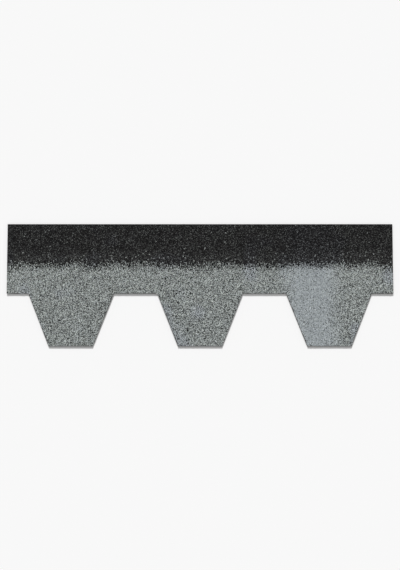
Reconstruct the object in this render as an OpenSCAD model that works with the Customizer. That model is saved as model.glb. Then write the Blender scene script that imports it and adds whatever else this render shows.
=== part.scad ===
// One strip of hexagonal asphalt roof shingle, lying on its back.
// X runs along the eaves, Y up the roof slope and Z out of the granule face.
// The origin is in the middle of the back, so the strip lies on the plane Z = 0.

/* [Sheet] */
// Length of the strip along the eaves
strip_length = 1000; // [900:1:1100]
// Height of the strip up the slope, from the tab tips to the top edge
strip_height = 317; // [290:1:345]
// Thickness of the bitumen sheet, up to the level of its granules
sheet_thickness = 3; // [2:0.1:5]

/* [Tabs] */
// Whole tabs along the strip
tab_count = 3; // [2:1:4]
// Height of a tab, which is the part of each course that stays uncovered
tab_height = 136; // [100:1:150]
// Width of a tab at its tip
tab_tip_width = 113; // [60:1:160]

/* [Hidden] */

tab_pitch = strip_length / tab_count;
// Two strips are cut from one sheet with their tabs interlocked,
// so each cut-out is the shape of a tab turned upside down.
cut_out_top_width = tab_tip_width;
tab_root_width = tab_pitch - cut_out_top_width;

top_edge_y = strip_height / 2;
tab_tip_y = -strip_height / 2;
tab_root_y = tab_tip_y + tab_height;
end_x = strip_length / 2;

// Middle of a tab. Half a cut-out is left at each end of the strip,
// where it makes a whole one with the strip that is laid beside it.
function tab_middle_x(index) = (index + 0.5) * tab_pitch - end_x;

// Corners of one tab from left to right: down one slanted side and up the other
function tab_corners(index) =
    let (x = tab_middle_x(index))
    [
        [x - tab_root_width / 2, tab_root_y],
        [x - tab_tip_width / 2, tab_tip_y],
        [x + tab_tip_width / 2, tab_tip_y],
        [x + tab_root_width / 2, tab_root_y]
    ];

// Outline that the cutting roller leaves, counter-clockwise from the left end
module cut_outline() {
    polygon([
        [-end_x, tab_root_y],
        for (index = [0 : tab_count - 1]) each tab_corners(index),
        [end_x, tab_root_y],
        [end_x, top_edge_y],
        [-end_x, top_edge_y]
    ]);
}

// The whole strip is one piece of coated sheet
module shingle_strip() {
    color("#878c8e")
        linear_extrude(height = sheet_thickness)
            cut_outline();
}

shingle_strip();
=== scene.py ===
# Hexagonal asphalt shingle strip, lying on its back with the granule face up; sizes are in metres
import math

import bmesh
import bpy
import numpy as np
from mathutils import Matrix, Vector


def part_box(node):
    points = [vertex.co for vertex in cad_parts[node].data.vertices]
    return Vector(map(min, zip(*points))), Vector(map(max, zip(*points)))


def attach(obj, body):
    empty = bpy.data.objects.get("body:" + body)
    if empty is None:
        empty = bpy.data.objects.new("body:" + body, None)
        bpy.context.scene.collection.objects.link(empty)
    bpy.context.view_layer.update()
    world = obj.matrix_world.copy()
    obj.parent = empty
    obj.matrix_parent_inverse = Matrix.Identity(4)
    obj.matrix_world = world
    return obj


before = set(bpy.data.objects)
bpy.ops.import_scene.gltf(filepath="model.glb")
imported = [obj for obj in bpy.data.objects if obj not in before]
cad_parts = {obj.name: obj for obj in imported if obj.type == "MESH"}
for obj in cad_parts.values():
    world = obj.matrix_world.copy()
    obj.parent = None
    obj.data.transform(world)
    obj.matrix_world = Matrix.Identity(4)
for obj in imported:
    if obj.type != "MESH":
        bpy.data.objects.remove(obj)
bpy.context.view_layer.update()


# Cut sheet
# A glass mat soaked and coated with filled bitumen, punched to its zig-zag of tabs in one stroke.
# Its back is dusted with fine sand so that strips don't stick together; its cut edges are bare bitumen.
BITUMEN = (0.010, 0.0095, 0.009, 1)
CUT_BY_GRAIN = ((0.45, BITUMEN), (0.75, (0.035, 0.033, 0.031, 1)))
SAND_BY_SHADE = ((0.38, (0.030, 0.029, 0.028, 1)), (0.68, (0.165, 0.160, 0.150, 1)))
SAND_SKIN = 0.00003
SAND_GRAINS_PER_METRE = 1900
SAND_GRAIN_BREAKUP = 0.7
SAND_CLOUDS_PER_METRE = 14
SAND_CLOUD_BREAKUP = 0.5
SAND_CLOUDING = 0.35
SAND_RELIEF = 0.0002
SAND_RELIEF_STRENGTH = 0.5
SAND_ROUGHNESS = 0.92
CUT_ROUGHNESS = 0.62
BITUMEN_SHEEN = 0.15
FINER_OCTAVES = 3
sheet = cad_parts["shingle_strip"]
sheet_low, sheet_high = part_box("shingle_strip")
strip_length = sheet_high.x - sheet_low.x


def add_node(tree, kind, settings=(), inputs=()):
    """New shader node of a kind, with its settings and then its unlinked inputs set, by name or number."""
    node = tree.nodes.new(kind)
    for name, value in dict(settings).items():
        setattr(node, name, value)
    for name, value in dict(inputs).items():
        node.inputs[name].default_value = value
    return node


def new_finish(name):
    """Material with one Principled shader on its output; returns the material, its tree and the shader."""
    finish = bpy.data.materials.new(name)
    finish.use_nodes = True
    tree = finish.node_tree
    return finish, tree, tree.nodes["Principled BSDF"]


def noise(tree, place, per_metre, breakup):
    """Cloudy noise from 0 to 1 with about per_metre clouds in a metre, at the given place.
    Each finer octave counts for breakup times the one before."""
    amounts = {"Scale": per_metre, "Detail": FINER_OCTAVES, "Roughness": breakup}
    node = add_node(tree, "ShaderNodeTexNoise", inputs=amounts)
    tree.links.new(place, node.inputs["Vector"])
    return node.outputs["Fac"]


def height_of(tree, place):
    """Height of the given place over the back of the sheet."""
    axes = add_node(tree, "ShaderNodeSeparateXYZ")
    tree.links.new(place, axes.inputs[0])
    return axes.outputs["Z"]


def ramp(tree, value, stops):
    """Colour that a value has on a ramp through (position, colour) stops, straight between neighbours."""
    node = add_node(tree, "ShaderNodeValToRGB")
    elements = node.color_ramp.elements
    elements[0].position, elements[0].color = stops[0]
    elements[1].position, elements[1].color = stops[-1]
    for position, colour in stops[1:-1]:
        elements.new(position).color = colour
    tree.links.new(value, node.inputs["Fac"])
    return node.outputs["Color"]


def map_range(tree, value, start, end, low=0.0, high=1.0):
    """Straight-line map of a value between start and end to one between low and high, held at the ends."""
    limits = {"From Min": start, "From Max": end, "To Min": low, "To Max": high}
    node = add_node(tree, "ShaderNodeMapRange", inputs=limits)
    tree.links.new(value, node.inputs["Value"])
    return node.outputs["Result"]


def mix_colour(tree, share, first, second, blend="MIX"):
    """Mix of two colours by a share from 0, the first, to 1, the second; each is an output or a value.
    The node has sockets for every kind of data, and its colours are inputs 6 and 7 and output 2."""
    node = add_node(tree, "ShaderNodeMix", {"data_type": "RGBA", "blend_type": blend})
    for socket, value in ((node.inputs[0], share), (node.inputs[6], first), (node.inputs[7], second)):
        if isinstance(value, bpy.types.NodeSocket):
            tree.links.new(value, socket)
        else:
            socket.default_value = value
    return node.outputs[2]


def add_relief(tree, shader, height, strength, depth):
    """Roughens a shader's surface by a height from 0 to 1 that stands for the given depth in metres."""
    bump = add_node(tree, "ShaderNodeBump", inputs={"Strength": strength, "Distance": depth})
    tree.links.new(height, bump.inputs["Height"])
    tree.links.new(bump.outputs["Normal"], shader.inputs["Normal"])


def bitumen_finish():
    """Black filled bitumen on the cut edges, and on the back a skin of fine sand, told apart by height.
    The sand's shade is its grain, moved up or down by a share of the clouds it was strewn in."""
    finish, tree, shader = new_finish("sanded_bitumen")
    place = add_node(tree, "ShaderNodeTexCoord").outputs["Object"]
    grain = noise(tree, place, SAND_GRAINS_PER_METRE, SAND_GRAIN_BREAKUP)
    clouds = noise(tree, place, SAND_CLOUDS_PER_METRE, SAND_CLOUD_BREAKUP)
    sand_shade = add_node(tree, "ShaderNodeMath", {"operation": "MULTIPLY_ADD"}, {1: SAND_CLOUDING})
    centred = map_range(tree, grain, 0.0, 1.0, -SAND_CLOUDING / 2, 1.0 - SAND_CLOUDING / 2)
    tree.links.new(clouds, sand_shade.inputs[0])
    tree.links.new(centred, sand_shade.inputs[2])
    sand = ramp(tree, sand_shade.outputs[0], SAND_BY_SHADE)
    cut = ramp(tree, grain, CUT_BY_GRAIN)
    on_cut = map_range(tree, height_of(tree, place), sheet_low.z, sheet_low.z + SAND_SKIN)
    tree.links.new(mix_colour(tree, on_cut, sand, cut), shader.inputs["Base Color"])
    roughness = map_range(tree, on_cut, 0.0, 1.0, SAND_ROUGHNESS, CUT_ROUGHNESS)
    tree.links.new(roughness, shader.inputs["Roughness"])
    add_relief(tree, shader, grain, SAND_RELIEF_STRENGTH, SAND_RELIEF)
    shader.inputs["Specular IOR Level"].default_value = BITUMEN_SHEEN
    return finish


sheet.data.materials.clear()
sheet.data.materials.append(bitumen_finish())


# Granule coat
# Crushed stone, 1 to 2 mm across, strewn on the hot bitumen, rolled in and then punched with the sheet.
# The chips are glazed blue-grey or green-grey, with black ones mixed in, and all black on the upper part.
# The one layer is made here as a closed skin for each tab and for each stretch above the tabs.
GRANULE_SPACING = 0.00177
LATTICE_SHAKE = 0.41
LATTICE_BORDER = 2
MIXING_EVENNESS = 0.8
BULK_SPREAD = 0.42
GREATEST_BULK = 3
GRANULE_RISE = 0.00042
CROWN_REACH = (0.32, 0.78)
CROWN_TILT = (0.65, 1.3)
VALLEY_RISE = (-0.00003, 0.00018)
CUT_FACE_RISE = (0.00004, 0.0003)
CUT_MARGIN = 0.00015
CUT_LOSS_SHARE = 0.2
LEAST_HALF_CHIP = 0.0003
FOOT_DEPTH = 0.0002
FIELD_STRETCHES = 4
SAME_PLACE = 0.00001
CORNER_DECIMALS = 6
FACES_A_CHIP = 10
draw = np.random.default_rng(2207)


def face_outline():
    """Corners of the sheet's face, counter-clockwise: the lower edge from left to right, then the top."""
    points = np.empty(len(sheet.data.vertices) * 3)
    sheet.data.vertices.foreach_get("co", points)
    points = points.reshape(-1, 3)
    on_face = points[:, 2] > sheet_high.z - SAME_PLACE
    face = np.unique(points[on_face, :2].round(CORNER_DECIMALS), axis=0)
    on_top_edge = face[:, 1] > sheet_high.y - SAME_PLACE
    return np.vstack([face[~on_top_edge], face[on_top_edge][::-1]])


def against_cut(points):
    """Depth of each point inside the outline, negative outside, and the spot just inside its nearest edge.
    A point is inside where a ray along +X crosses the outline an odd number of times."""
    nearest = np.full(len(points), np.inf)
    inside = np.zeros(len(points), bool)
    spot = np.zeros_like(points)
    for start, end in zip(outline, np.roll(outline, -1, axis=0)):
        along = end - start
        inward = np.array([-along[1], along[0]]) / np.hypot(*along)
        offset = points - start
        foot = start + np.clip(offset @ along / (along @ along), 0, 1)[:, None] * along
        distance = np.hypot(*(points - foot).T)
        closer = distance < nearest
        nearest[closer] = distance[closer]
        spot[closer] = foot[closer] + CUT_MARGIN * inward
        if along[1] != 0:
            crossing_x = start[0] + offset[:, 1] * along[0] / along[1]
            straddles = (points[:, 1] >= start[1]) != (points[:, 1] >= end[1])
            inside ^= straddles & (points[:, 0] < crossing_x)
    return np.where(inside, nearest, -nearest), spot


outline = face_outline()
tip_corners = outline[outline[:, 1] < sheet_low.y + SAME_PLACE]
tab_middles = tip_corners[:, 0].reshape(-1, 2).mean(axis=1)
root_y = np.unique(outline[:, 1])[1]

# The chips lie on a triangular lattice that reaches past the sheet, shaken so that no row shows.
# Odd rows are half a step to the right.
row_step = GRANULE_SPACING * math.sqrt(3) / 2
columns = math.ceil(strip_length / GRANULE_SPACING) + 2 * LATTICE_BORDER
rows = math.ceil((sheet_high.y - sheet_low.y) / row_step) + 2 * LATTICE_BORDER
row, column = np.mgrid[0:rows, 0:columns]
odd_row = row % 2
lattice_x = sheet_low.x + (column + odd_row / 2 - LATTICE_BORDER) * GRANULE_SPACING
lattice_y = sheet_low.y + (row - LATTICE_BORDER) * row_step
lattice = np.stack([lattice_x, lattice_y], axis=-1)
lattice += LATTICE_SHAKE * GRANULE_SPACING * draw.uniform(-1, 1, lattice.shape)
bulk = np.minimum(draw.lognormal(0, BULK_SPREAD, (rows, columns, 1)), GREATEST_BULK)
luck = draw.random((rows, columns, 1))


def right(field):
    """Value at the next lattice point along the row."""
    return np.roll(field, -1, axis=1)


def left(field):
    """Value at the lattice point before, along the row."""
    return np.roll(field, 1, axis=1)


def next_row(field, step):
    """Value at the point between a lattice point and its right neighbour, one row up or down."""
    moved = np.roll(field, -step, axis=0)
    return np.where(odd_row[..., None] == 1, right(moved), moved)


def meeting_points(step):
    """Where a granule, its right neighbour and the one between them a row away meet.
    It is the mean of their places, weighted so that it lies further from the bulkier granules."""
    weight = 1 / bulk
    moment = lattice * weight
    total = weight + right(weight) + next_row(weight, step)
    return ((moment + right(moment) + next_row(moment, step)) / total).reshape(-1, 2)


def well_mixed(evenness):
    """Luck from 0 to 1 that differs from that of the six neighbours more than chance would have it.
    Each draw is lowered by a share of its neighbours' mean, and the results' ranks are spread evenly."""
    above, below = next_row(luck, 1), next_row(luck, -1)
    around = (right(luck) + left(luck) + above + left(above) + below + left(below)) / 6
    order = (luck - evenness * around).ravel().argsort()
    spread = np.empty(luck.size)
    spread[order] = np.arange(luck.size) / luck.size
    return spread.reshape(luck.shape)


def inner(field):
    """Rows of values for the lattice points that have all six neighbours."""
    return field[1:-1, 1:-1].reshape(-1, field.shape[2])


# Each chip is the six-sided cell between the valleys where it meets its neighbours, counter-clockwise.
# Upward meeting points are numbered as the lattice points are, and downward ones come after them all.
number = row * columns + column
downward = rows * columns
upper_left = (row + 1) * columns + column - 1 + odd_row
lower_left = (row - 1) * columns + column - 1 + odd_row
upper_corners = (number, downward + upper_left, number - 1)
lower_corners = (downward + number - 1, lower_left, downward + number)
ring = inner(np.stack(upper_corners + lower_corners, axis=-1))
valley = np.vstack([meeting_points(1), meeting_points(-1)])
bulk, mixing = inner(bulk)[:, 0], inner(well_mixed(MIXING_EVENNESS))[:, 0]

# The die shears the chips that it meets, and breaks some of them off.
valley_depth, cut_spot = against_cut(valley)
middle_depth, _ = against_cut(valley[ring].mean(axis=1))
at_cut = valley_depth < CUT_MARGIN
valley[at_cut] = cut_spot[at_cut]
lost = at_cut[ring].any(axis=1) & (draw.random(len(ring)) < CUT_LOSS_SHARE)
kept = (middle_depth > LEAST_HALF_CHIP) & ~lost
ring, bulk, mixing = ring[kept], bulk[kept], mixing[kept]
chip_count = len(ring)
middle = valley[ring].mean(axis=1)

# A chip stands a few tenths of a millimetre out of the bitumen on a three-cornered crown, at a random tilt.
turned = draw.integers(0, 2, chip_count)[:, None]
ring = np.where(turned == 1, np.roll(ring, -1, axis=1), ring)
corner_pair = valley[ring].reshape(-1, 3, 2, 2).mean(axis=2)
reach = draw.uniform(*CROWN_REACH, (chip_count, 3, 1))
crown = middle[:, None] + reach * (corner_pair - middle[:, None])
crown_rise = GRANULE_RISE * np.sqrt(bulk)[:, None] * draw.uniform(*CROWN_TILT, (chip_count, 3))
valley_rise = draw.uniform(*VALLEY_RISE, len(valley))
valley_rise[at_cut] = draw.uniform(*CUT_FACE_RISE, at_cut.sum())
crown = np.concatenate([crown, sheet_high.z + crown_rise[..., None]], axis=-1)
valley = np.column_stack([valley, sheet_high.z + valley_rise])

# The blend drifts along the strip. One drop of it has hardly any black chips and is bluer: it reaches from
# left of the last tab to a little right of that tab's middle. The black upper part fades in over a ragged
# edge, with a tail above it in which charcoal chips and a few pale strays die out.
DRIFT_STEP = 0.045
BLACK_SHARE = 0.29
BLACK_SHARE_DRIFT = 0.04
CHARCOAL_SHARE = 0.36
BLACK_SHADE = (0.0, 0.12)
CHARCOAL_SHADE = (0.17, 0.46)
GLAZED_SHADE = 0.715
GLAZED_SPREAD = 0.16
GLAZED_LIMITS = (0.35, 1.0)
PALE_DROP = (-0.148, 0.053)
PALE_DROP_EDGE = 0.07
PALE_DROP_WANDER = 0.006
PALE_DROP_BLACK_SHARE = 0.04
PALE_DROP_SPREAD = 0.1
GREEN_TINT = 0.31
BLUE_TINT = 0.79
TINT_SPREAD = 0.15
BLUE_PATCH = (0.2, 0.8)
BAND_FADE = (0.188, 0.224)
BAND_WANDER = 0.006
BAND_STRAY_SHARE = 0.001
BAND_TAIL = 0.036
TAIL_STRAY_SHARE = 0.02
TAIL_STRAY_FALL = 3
TAIL_CHARCOAL_SHARE = 0.56


def eased(value, start, end):
    """Smooth step from 0 at start to 1 at end: 3t² - 2t³, held at the ends."""
    part = np.clip((value - start) / (end - start), 0, 1)
    return part * part * (3 - 2 * part)


def drift():
    """Smooth random value from -1 to 1 for each chip: draws on a square grid, eased between grid points."""
    cell = (middle - middle.min(axis=0)) / DRIFT_STEP
    whole = cell.astype(int)
    part_x, part_y = eased(cell - whole, 0, 1).T
    grid = draw.uniform(-1, 1, whole.max(axis=0) + 2)
    i, j = whole.T
    lower = grid[i, j] * (1 - part_x) + grid[i + 1, j] * part_x
    upper = grid[i, j + 1] * (1 - part_x) + grid[i + 1, j + 1] * part_x
    return lower * (1 - part_y) + upper * part_y


def between(first, second, share):
    """Value a share of the way from the first to the second."""
    return first + (second - first) * share


drop_x = middle[:, 0] - tab_middles[-1] + PALE_DROP_WANDER * drift()
drop_left, drop_right = PALE_DROP
past_left = eased(drop_x, drop_left, drop_left + PALE_DROP_EDGE)
in_drop = past_left * eased(drop_x, drop_right, drop_right - PALE_DROP_EDGE)
above_tips = middle[:, 1] - sheet_low.y + BAND_WANDER * drift()
in_band = eased(above_tips, *BAND_FADE)
in_tail = in_band * eased(above_tips, BAND_FADE[1] + BAND_TAIL, BAND_FADE[1])
blend_share = between(BLACK_SHARE + BLACK_SHARE_DRIFT * drift(), PALE_DROP_BLACK_SHARE, in_drop)
stray_share = between(BAND_STRAY_SHARE, TAIL_STRAY_SHARE, in_tail ** TAIL_STRAY_FALL)
black_share = between(blend_share, 1 - stray_share, in_band)
charcoal_share = black_share * between(CHARCOAL_SHARE, TAIL_CHARCOAL_SHARE, in_tail)
charcoal_shade = draw.uniform(*CHARCOAL_SHADE, chip_count)
black_shade = draw.uniform(*BLACK_SHADE, chip_count)
glazed_spread = between(GLAZED_SPREAD, PALE_DROP_SPREAD, in_drop)
glazed_shade = np.clip(draw.normal(GLAZED_SHADE, glazed_spread), *GLAZED_LIMITS)
shade = np.where(mixing < black_share, black_shade, glazed_shade)
shade = np.where(mixing < charcoal_share, charcoal_shade, shade)
blueness = np.maximum(in_drop, eased(drift(), *BLUE_PATCH))
tint = np.clip(between(GREEN_TINT, BLUE_TINT, blueness) + draw.normal(0, TINT_SPREAD, chip_count), 0, 1)

STONE_BY_SHADE = (
    (0.00, (0.0047, 0.0044, 0.0045, 1)),
    (0.20, (0.0208, 0.0194, 0.0204, 1)),
    (0.36, (0.0685, 0.065, 0.0655, 1)),
    (0.50, (0.184, 0.189, 0.185, 1)),
    (0.70, (0.374, 0.388, 0.386, 1)),
    (0.85, (0.505, 0.518, 0.512, 1)),
    (1.00, (0.690, 0.700, 0.690, 1)),
)
CAST_BY_TINT = ((0.0, (0.951, 1.0, 0.945, 1)), (1.0, (0.95, 1.0, 1.07, 1)))
MOTTLES_PER_METRE = 2600
MOTTLE_BREAKUP = 0.6
MOTTLE_LOW = 0.3
MOTTLE_HIGH = 0.7
SPECK_BY_MOTTLE = ((MOTTLE_LOW, (0.80, 0.80, 0.80, 1)), (MOTTLE_HIGH, (1.16, 1.16, 1.16, 1)))
MOTTLE_RELIEF = 0.0001
MOTTLE_RELIEF_STRENGTH = 0.25
STONE_ROUGHNESS = (0.78, 0.95)
STONE_SHEEN = 0.05
BED_RISE = (0.00003, 0.00014)


def granule_finish():
    """Matt glazed stone, from black to pale by a chip's shade and from green-grey to blue-grey by its tint.
    A fine mineral mottle lies over it, and bitumen shows where the surface is down at the bed."""
    finish, tree, shader = new_finish("glazed_granules")
    place = add_node(tree, "ShaderNodeTexCoord").outputs["Object"]
    chip_shade = add_node(tree, "ShaderNodeAttribute", {"attribute_name": "shade"}).outputs["Fac"]
    chip_tint = add_node(tree, "ShaderNodeAttribute", {"attribute_name": "tint"}).outputs["Fac"]
    stone = ramp(tree, chip_shade, STONE_BY_SHADE)
    tinted = mix_colour(tree, 1.0, stone, ramp(tree, chip_tint, CAST_BY_TINT), "MULTIPLY")
    mottle = noise(tree, place, MOTTLES_PER_METRE, MOTTLE_BREAKUP)
    mottled = mix_colour(tree, 1.0, tinted, ramp(tree, mottle, SPECK_BY_MOTTLE), "MULTIPLY")
    bed_low, bed_high = (sheet_high.z + rise for rise in BED_RISE)
    out_of_bed = map_range(tree, height_of(tree, place), bed_low, bed_high)
    tree.links.new(mix_colour(tree, out_of_bed, BITUMEN, mottled), shader.inputs["Base Color"])
    roughness = map_range(tree, mottle, MOTTLE_LOW, MOTTLE_HIGH, *STONE_ROUGHNESS)
    tree.links.new(roughness, shader.inputs["Roughness"])
    add_relief(tree, shader, mottle, MOTTLE_RELIEF_STRENGTH, MOTTLE_RELIEF)
    shader.inputs["Specular IOR Level"].default_value = STONE_SHEEN
    return finish


def chip_faces(ring_index, crown_index):
    """Ten triangles a chip: the crown, a flank on each pair of corners, and two on each gap between pairs.
    The k-th flank rises from the k-th pair of ring corners to the k-th corner of the crown."""
    faces = [crown_index]
    for k in range(3):
        first, second, third = (ring_index[:, (2 * k + step) % 6] for step in range(3))
        here, ahead = crown_index[:, k], crown_index[:, (k + 1) % 3]
        faces.append(np.stack([first, second, here], axis=1))
        faces.append(np.stack([second, third, ahead], axis=1))
        faces.append(np.stack([second, ahead, here], axis=1))
    return np.stack(faces, axis=1).reshape(-1, 3)


def border_edges(ring_index):
    """Ring edges that no second chip shares: their start points, their end points and their chips."""
    edges = np.stack([ring_index, np.roll(ring_index, -1, axis=1)], axis=-1).reshape(-1, 2)
    ordered = np.sort(edges, axis=1)
    key = ordered[:, 0] * (ring_index.max() + 1) + ordered[:, 1]
    _, first, uses = np.unique(key, return_index=True, return_counts=True)
    alone = first[uses == 1]
    return *edges[alone].T, alone // 6


def close_foot(mesh):
    """Closes a skin that is open below with one face."""
    work = bmesh.new()
    work.from_mesh(mesh)
    bmesh.ops.holes_fill(work, edges=[edge for edge in work.edges if edge.is_boundary], sides=0)
    work.to_mesh(mesh)
    work.free()


MAP_MARGIN = 0.006
MAP_FOOT_STRIP = 0.02


def lay_out_map(mesh, points, seen_faces):
    """Flat map of the chips and the skirt seen from above, stretched over the square.
    The hidden foot goes into a narrow strip along the top."""
    low, high = points[:, :2].min(axis=0), points[:, :2].max(axis=0)
    flat = MAP_MARGIN + (points[:, :2] - low) / (high - low) * (1 - 2 * MAP_MARGIN - MAP_FOOT_STRIP)
    corner_point = np.empty(len(mesh.loops), np.int32)
    mesh.loops.foreach_get("vertex_index", corner_point)
    spots = flat[corner_point]
    hidden = slice(seen_faces * 3, None)
    spots[hidden, 1] = 1 - MAP_MARGIN - spots[hidden, 1] * (MAP_FOOT_STRIP - MAP_MARGIN)
    mesh.uv_layers.new(name="OFBake").data.foreach_set("uv", spots.astype(np.float32).ravel())


def coat_piece(name, members):
    """Closed skin of some chips: their faces, a skirt down from the border and a foot in the bitumen."""
    used, ring_index = np.unique(ring[members], return_inverse=True)
    ring_index = ring_index.reshape(-1, 6)
    crown_index = len(used) + np.arange(len(members) * 3).reshape(-1, 3)
    start, end, border_chip = border_edges(ring_index)
    border, border_index = np.unique(np.concatenate([start, end]), return_inverse=True)
    start_foot, end_foot = len(used) + crown_index.size + border_index.reshape(2, -1)
    skirt_start = np.stack([start, start_foot, end_foot], axis=1)
    skirt_end = np.stack([start, end_foot, end], axis=1)
    foot = valley[used][border]
    foot[:, 2] = sheet_high.z - FOOT_DEPTH
    points = np.concatenate([valley[used], crown[members].reshape(-1, 3), foot])
    faces = np.concatenate([chip_faces(ring_index, crown_index), skirt_start, skirt_end])
    face_chip = np.concatenate([np.repeat(members, FACES_A_CHIP), np.tile(members[border_chip], 2)])
    mesh = bpy.data.meshes.new(name)
    mesh.from_pydata(points, [], faces)
    close_foot(mesh)
    for label, chip_values in (("shade", shade), ("tint", tint)):
        face_values = np.zeros(len(mesh.polygons), np.float32)
        face_values[:len(faces)] = chip_values[face_chip]
        mesh.attributes.new(label, "FLOAT", "FACE").data.foreach_set("value", face_values)
    lay_out_map(mesh, points, len(faces))
    mesh.materials.append(glazed)
    piece = bpy.data.objects.new(name, mesh)
    bpy.context.scene.collection.objects.link(piece)
    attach(piece, "root")


glazed = granule_finish()
on_tab = middle[:, 1] < root_y
nearest_tab = np.abs(middle[:, :1] - tab_middles).argmin(axis=1)
for tab in range(len(tab_middles)):
    coat_piece(f"tab_granules_{tab + 1}", np.flatnonzero(on_tab & (nearest_tab == tab)))
stretch_length = strip_length / FIELD_STRETCHES
stretch = ((middle[:, 0] - sheet_low.x) / stretch_length).astype(int)
for part in range(FIELD_STRETCHES):
    coat_piece(f"field_granules_{part + 1}", np.flatnonzero(~on_tab & (stretch == part)))


# Floor and light
# A plain pale floor just under the back of the strip, lit by one soft lamp from the head of the strip
# and an even pale sky, together at the level at which a colour renders about as written.
FLOOR_DROP = 0.0004
FLOOR_REACH = 20
FLOOR_WHITE = (0.94, 0.94, 0.94, 1)
FLOOR_ROUGHNESS = 0.9
SKY_SHARE = 0.42
LAMP_SHARE = 0.58
LAMP_HEIGHT = math.radians(28)
LAMP_SIDE = math.radians(8)
LAMP_WIDTH = math.radians(9)
floor_mesh = bpy.data.meshes.new("floor")
floor_sides = ((-1, -1), (1, -1), (1, 1), (-1, 1))
floor_corners = [(x * FLOOR_REACH, y * FLOOR_REACH, sheet_low.z - FLOOR_DROP) for x, y in floor_sides]
floor_mesh.from_pydata(floor_corners, [], [(0, 1, 2, 3)])
floor_finish, floor_tree, floor_shader = new_finish("pale_floor")
floor_shader.inputs["Base Color"].default_value = FLOOR_WHITE
floor_shader.inputs["Roughness"].default_value = FLOOR_ROUGHNESS
floor_shader.inputs["Specular IOR Level"].default_value = 0.0
floor_mesh.materials.append(floor_finish)
floor = bpy.data.objects.new("floor", floor_mesh)
bpy.context.scene.collection.objects.link(floor)

# The sky lights the strip, and is as white as the floor where the camera, a reflection or glass shows it.
sky = bpy.data.worlds.new("sky")
sky.use_nodes = True
sky_tree = sky.node_tree
sky_light = sky_tree.nodes["Background"]
sky_light.inputs["Color"].default_value = (1, 1, 1, 1)
sky_light.inputs["Strength"].default_value = SKY_SHARE
backdrop = add_node(sky_tree, "ShaderNodeBackground", inputs={"Color": FLOOR_WHITE, "Strength": 1})
ray = add_node(sky_tree, "ShaderNodeLightPath")
shown = add_node(sky_tree, "ShaderNodeMath", {"operation": "MAXIMUM"})
sky_tree.links.new(ray.outputs["Is Camera Ray"], shown.inputs[0])
sky_tree.links.new(ray.outputs["Is Transmission Ray"], shown.inputs[1])
shown_or_mirrored = add_node(sky_tree, "ShaderNodeMath", {"operation": "MAXIMUM"})
sky_tree.links.new(shown.outputs[0], shown_or_mirrored.inputs[0])
sky_tree.links.new(ray.outputs["Is Glossy Ray"], shown_or_mirrored.inputs[1])
sky_mix = add_node(sky_tree, "ShaderNodeMixShader")
sky_tree.links.new(shown_or_mirrored.outputs[0], sky_mix.inputs[0])
sky_tree.links.new(sky_light.outputs[0], sky_mix.inputs[1])
sky_tree.links.new(backdrop.outputs[0], sky_mix.inputs[2])
sky_tree.links.new(sky_mix.outputs[0], sky_tree.nodes["World Output"].inputs["Surface"])
bpy.context.scene.world = sky

lamp_data = bpy.data.lights.new("head_lamp", "SUN")
# A sun of strength pi from straight above would light a level surface fully; this one comes in low.
lamp_data.energy = LAMP_SHARE * math.pi / math.sin(LAMP_HEIGHT)
lamp_data.angle = LAMP_WIDTH
lamp = bpy.data.objects.new("head_lamp", lamp_data)
# Unturned it would shine straight down; it is tipped until it shines from the head, at its height.
lamp.rotation_euler = (LAMP_HEIGHT - math.pi / 2, 0, LAMP_SIDE)
bpy.context.scene.collection.objects.link(lamp)


# Camera
# It looks almost straight down on the face, from a little below the tabs.
# Its lens makes the strip fill the picture's width but for a narrow margin.
# The sensor's width spans the picture's longer side, which is its height.
VIEW_DISTANCE = 3.0
VIEW_TILT = math.radians(5)
IMAGE_HEIGHT_PX = 570
STRIP_WIDTH_PX = 386
SENSOR_MM = 36
camera_data = bpy.data.cameras.new("camera")
camera_data.sensor_width = SENSOR_MM
camera_data.lens = SENSOR_MM * STRIP_WIDTH_PX / IMAGE_HEIGHT_PX * VIEW_DISTANCE / strip_length
camera = bpy.data.objects.new("camera", camera_data)
camera.location = (0, -VIEW_DISTANCE * math.sin(VIEW_TILT), VIEW_DISTANCE * math.cos(VIEW_TILT))
camera.rotation_euler = (VIEW_TILT, 0, 0)
bpy.context.scene.collection.objects.link(camera)
bpy.context.scene.camera = camera
bpy.context.scene.view_settings.view_transform = "Standard"
